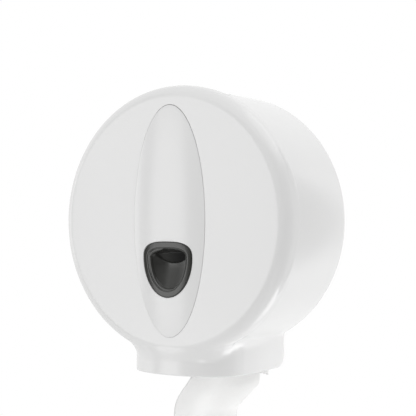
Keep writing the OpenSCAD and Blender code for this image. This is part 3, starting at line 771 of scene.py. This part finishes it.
# The shelf inside the groove is widest at the lower left
leftward = np.maximum(np.cos(bearing - math.radians(195)), 0)
shelf = 0.12 + 0.88 * leftward ** 0.7 + 0.2 * (1 - up_share) * (1 - leftward)
shelf_out, shelf_in = (outline_towards(-RIM_W - grow, aim) for grow in (0.3, 0.3 + SHELF_W))
for share, below in ((0.0, GROOVE), (0.2, SHELF + 0.02), (0.5, SHELF),
                     (0.75, SHELF + 0.1), (0.9, SHELF + 0.3), (1.0, SHELF + 0.6)):
    ring = lerp(shelf_out, shelf_in, (share * shelf)[:, None])
    rows.append(flat(ring, rim_h(ring) - below))
lip = rows[-1]
lip_flat, lip_h = lip[:, [0, 2]], -lip[:, 1]
back = [window_row(-1.9, FACE_INSIDE + 0.2), window_row(-2.4, FACE_INSIDE - WINDOW_BACK)]
SCOOP_ROWS = 44
for s in np.r_[0.004, 0.012, 0.024, np.linspace(0.045, 0.985, SCOOP_ROWS)]:
    spot = lerp(lip_flat, WINDOW_CENTRE, s)
    away = np.linalg.norm(spot - lip_flat, axis=1)
    rows.append(flat(spot, np.minimum(scoop_h(spot, lip_h - SCOOP_WALL * away), lip_h)))
for s in (0.15, 0.3, 0.45, 0.6, 0.75, 0.9):
    spot = lerp(back[1][:, [0, 2]], WINDOW_CENTRE, s)
    back.append(flat(spot, np.minimum(FACE_INSIDE - WINDOW_BACK, scoop_h(spot, 0.0) - SCOOP_T)))
window_rows = back[::-1] + rows
window = grid_piece("window_glaze", window_rows, cap_start=True, cap_end=True)
dress(window, smoked, "smoked_plastic", "cover", "level_window")

# ---------------------------------------------------------------- the hanging sheet of tissue
ROLL_LOW, ROLL_HIGH = node_box("paper_roll")
PAPER_FRONT, PAPER_BACK = -ROLL_LOW[1], -ROLL_HIGH[1]
HANG_FROM, HANG_OVER = 120, 60           # the sheet starts to swell this far down, over this length
SWELL, SWELL_WAVES, SWELL_PHASE = 5.0, 2.3, 0.6
# From the roll's right side down: x at the front edge, x at the rear edge, z
stations = np.array([
    [86.0, 86.0, -14.0], [80.4, 80.4, -40.0], [62.0, 64.0, -78.0], [42.0, 47.0, -108.0], [24.0, 42.0, -130.0],
    [12.0, 38.0, -149.0], [2.0, 35.5, -162.0], [-4.0, 25.0, -173.0], [-6.0, 12.0, -187.0],
    [-6.0, 11.0, -198.0], [-5.0, 12.0, -212.0],
])


def curve_through(points, count):
    """A smooth line through points."""
    p = np.vstack([2 * points[0] - points[1], points, 2 * points[-1] - points[-2]])
    t = np.linspace(0, len(points) - 1 - 1e-9, count)
    k, f = t.astype(int), (t % 1)[:, None]
    a, b, c, d = p[k], p[k + 1], p[k + 2], p[k + 3]
    return b + f * ((c - a) / 2 + f * ((2 * a - 5 * b + 4 * c - d) / 2 + f * (3 * (b - c) + d - a) / 2))


SHEET_ROWS, SHEET_COLUMNS = 150, 61
line = curve_through(stations, SHEET_ROWS)
across = np.linspace(0, 1, SHEET_COLUMNS)
grid = np.zeros((SHEET_ROWS, SHEET_COLUMNS, 3))
grid[..., 0] = lerp(line[:, :1], line[:, 1:2], across)
grid[..., 1] = lerp(-PAPER_FRONT, -PAPER_BACK, across)
grid[..., 2] = line[:, 2:3]
hang = smooth((-grid[..., 2] - HANG_FROM) / HANG_OVER)
swell = SWELL * np.sin(across * SWELL_WAVES * math.pi + SWELL_PHASE) * np.sin(across * math.pi)
grid[..., 0] += hang * swell


def sheet_piece(name, grid, thickness):
    """A closed sheet of even thickness round a grid of points."""
    du, dv = np.gradient(grid, axis=0), np.gradient(grid, axis=1)
    n = np.cross(du, dv)
    n /= np.linalg.norm(n, axis=-1, keepdims=True)
    front, rear = grid + n * thickness / 2, grid - n * thickness / 2
    ring = np.concatenate([front, rear[:, ::-1]], 1)
    count, columns = ring.shape[:2]
    points = ring.reshape(-1, 3)
    index = np.arange(count * columns).reshape(count, columns)
    nxt = np.roll(index, -1, 1)
    faces = np.stack([index[:-1], nxt[:-1], nxt[1:], index[1:]], -1).reshape(-1, 4).tolist()
    half = columns // 2
    for row, turned in ((index[0], True), (index[-1], False)):
        for j in range(half - 1):
            f = [int(row[j]), int(row[j + 1]), int(row[columns - 2 - j]), int(row[columns - 1 - j])]
            faces.append(f if turned else f[::-1])
    return outward_piece(name, points, faces)


paper_sheet = sheet_piece("paper_sheet", grid, PAPER_T)
dress(paper_sheet, tissue, "paper", "base", "paper_tail")
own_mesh(paper_sheet)

# ---------------------------------------------------------------- stage, lights and camera
scene = bpy.context.scene
scene.view_settings.view_transform = "Standard"


def white_for_camera(tree, own, white, output, share=1.0):
    """White where the camera, a reflection or a see-through material looks, and its own shader for everything else."""
    path = tree.nodes.new("ShaderNodeLightPath")
    most = path.outputs["Is Camera Ray"]
    for other in ("Is Glossy Ray", "Is Transmission Ray"):
        top = tree.nodes.new("ShaderNodeMath")
        top.operation = "MAXIMUM"
        tree.links.new(most, top.inputs[0])
        tree.links.new(path.outputs[other], top.inputs[1])
        most = top.outputs[0]
    times = tree.nodes.new("ShaderNodeMath")
    times.operation = "MULTIPLY"
    times.inputs[1].default_value = share
    tree.links.new(most, times.inputs[0])
    mix = tree.nodes.new("ShaderNodeMixShader")
    for source, target in ((times.outputs[0], mix.inputs[0]), (own, mix.inputs[1]), (white, mix.inputs[2]),
                           (mix.outputs[0], output)):
        tree.links.new(source, target)


def stage_look(name, scale, dark, light, rough):
    """A plain grey material with faint cloudiness, for what isn't part of the object."""
    look, nodes, links, shader, vector = start_material(name)
    cloud = noise(nodes, links, vector, scale)
    links.new(ramp(nodes, links, cloud, (dark,) * 3, (light,) * 3), shader.inputs["Base Color"])
    shader.inputs["Roughness"].default_value = rough
    return look


AMBIENT, FLOOR_WHITE = 0.75, 0.85        # strength of the room's light, and the floor's share of plain white
world = bpy.data.worlds.new("studio")
scene.world = world
world.use_nodes = True
tree = world.node_tree
ambient, white = tree.nodes["Background"], tree.nodes.new("ShaderNodeBackground")
for background, strength in ((ambient, AMBIENT), (white, 1.0)):
    background.inputs["Color"].default_value = (1, 1, 1, 1)
    background.inputs["Strength"].default_value = strength
white_for_camera(tree, ambient.outputs[0], white.outputs[0], tree.nodes["World Output"].inputs["Surface"])

STUDIO_Z, STUDIO_COLUMNS = -0.9 / MM, 72
around = np.linspace(0, 2 * math.pi, STUDIO_COLUMNS, endpoint=False)
floor_rows = [np.stack([r * np.cos(around), r * np.sin(around), np.full(STUDIO_COLUMNS, STUDIO_Z)], 1)
              for r in (2200.0, 1200.0, 500.0, 100.0)]
floor = grid_piece("studio_floor", floor_rows, cap_end=True)
floor_look = stage_look("floor_pale", 3.0, 0.84, 0.87, rough=0.8)
nodes = floor_look.node_tree.nodes
white_for_camera(floor_look.node_tree, nodes["Principled BSDF"].outputs[0],
                 nodes.new("ShaderNodeEmission").outputs[0], nodes["Material Output"].inputs["Surface"], FLOOR_WHITE)
floor.data.materials.append(floor_look)

# What the lamps look at, in metres
MIDDLE = Vector((0.0, -0.06, -0.03))
PAPER_SPOT, PAPER_END = Vector((0.015, -0.055, -0.18)), Vector((0.015, -0.055, -0.26))


def lamp(name, turn_deg, lift_deg, distance, width, height, power, aim=MIDDLE, spread_deg=180.0):
    """A soft box that looks at a point on the object. Turn 0 is in front, 90 on the right."""
    data = bpy.data.lights.new(name, "AREA")
    data.shape = "RECTANGLE"
    data.size, data.size_y = width, height
    data.energy = power
    data.spread = math.radians(spread_deg)
    box = bpy.data.objects.new(name, data)
    a, e = math.radians(turn_deg), math.radians(lift_deg)
    way = Vector((math.sin(a) * math.cos(e), -math.cos(a) * math.cos(e), math.sin(e)))
    box.location = aim + way * distance
    box.rotation_euler = (-way).to_track_quat("-Z", "Y").to_euler()
    box.visible_camera = False
    scene.collection.objects.link(box)


def curtain(name, turn_from, turn_to, distance, height):
    """A dark curtain round one side that only reflections see, as behind the photographer in a studio."""
    middle = np.array([0.0, MIDDLE.y / MM, 0.0])
    turns = np.radians(np.linspace(turn_from, turn_to, 33))
    way = np.stack([np.sin(turns), -np.cos(turns), np.zeros_like(turns)], 1)
    card_rows = [middle + way * distance + np.array([0, 0, t * height / 2]) for t in np.linspace(-1, 1, 9)]
    card = grid_piece(name, card_rows, ring=False)
    card.data.materials.append(stage_look(name + "_look", 5.0, 0.04, 0.06, rough=0.9))
    card.visible_camera = card.visible_diffuse = card.visible_shadow = card.visible_transmission = False


# Distance and height in millimetres: one size far off, and one close to the drum's side
FAR, NEAR = (3000.0, 4860.0), (450.0, 750.0)
curtain("dark_front", -21.5, 60, *FAR)
curtain("dark_gap", -56, -44, *FAR)
curtain("dark_side", 55, 142.5, *NEAR)
# Turn and lift in degrees, distance, width and height in metres, and power in watts
lamp("strip_box", -33.5, 0, 3.0, 1.06, 1.55, 8.5)
lamp("left_box", -65, 3, 3.0, 1.1, 1.2, 6.0)
lamp("front_box", 0, 30, 1.3, 0.8, 0.8, 0.4)
lamp("top_box", 100, 55, 0.45, 0.4, 0.3, 0.3)
lamp("rear_box", 140, -10, 0.6, 0.3, 0.9, 0.22)
lamp("low_box", 125, -38, 0.5, 0.4, 0.4, 0.29, PAPER_SPOT, 75)
lamp("paper_box", 10, -20, 0.6, 0.15, 0.15, 0.022, PAPER_END, 30)

CAMERA_PLACE = Vector((0.5962, -0.9819, -0.0009))     # metres
CAMERA_TURN, CAMERA_LIFT = 0.56816, 0.0124            # radians
camera_data = bpy.data.cameras.new("camera")
camera_data.sensor_width, camera_data.lens = 36.0, 97.40
camera = bpy.data.objects.new("camera", camera_data)
camera.location = CAMERA_PLACE
camera.rotation_euler = (math.pi / 2 + CAMERA_LIFT, 0.0, CAMERA_TURN)
scene.collection.objects.link(camera)
scene.camera = camera
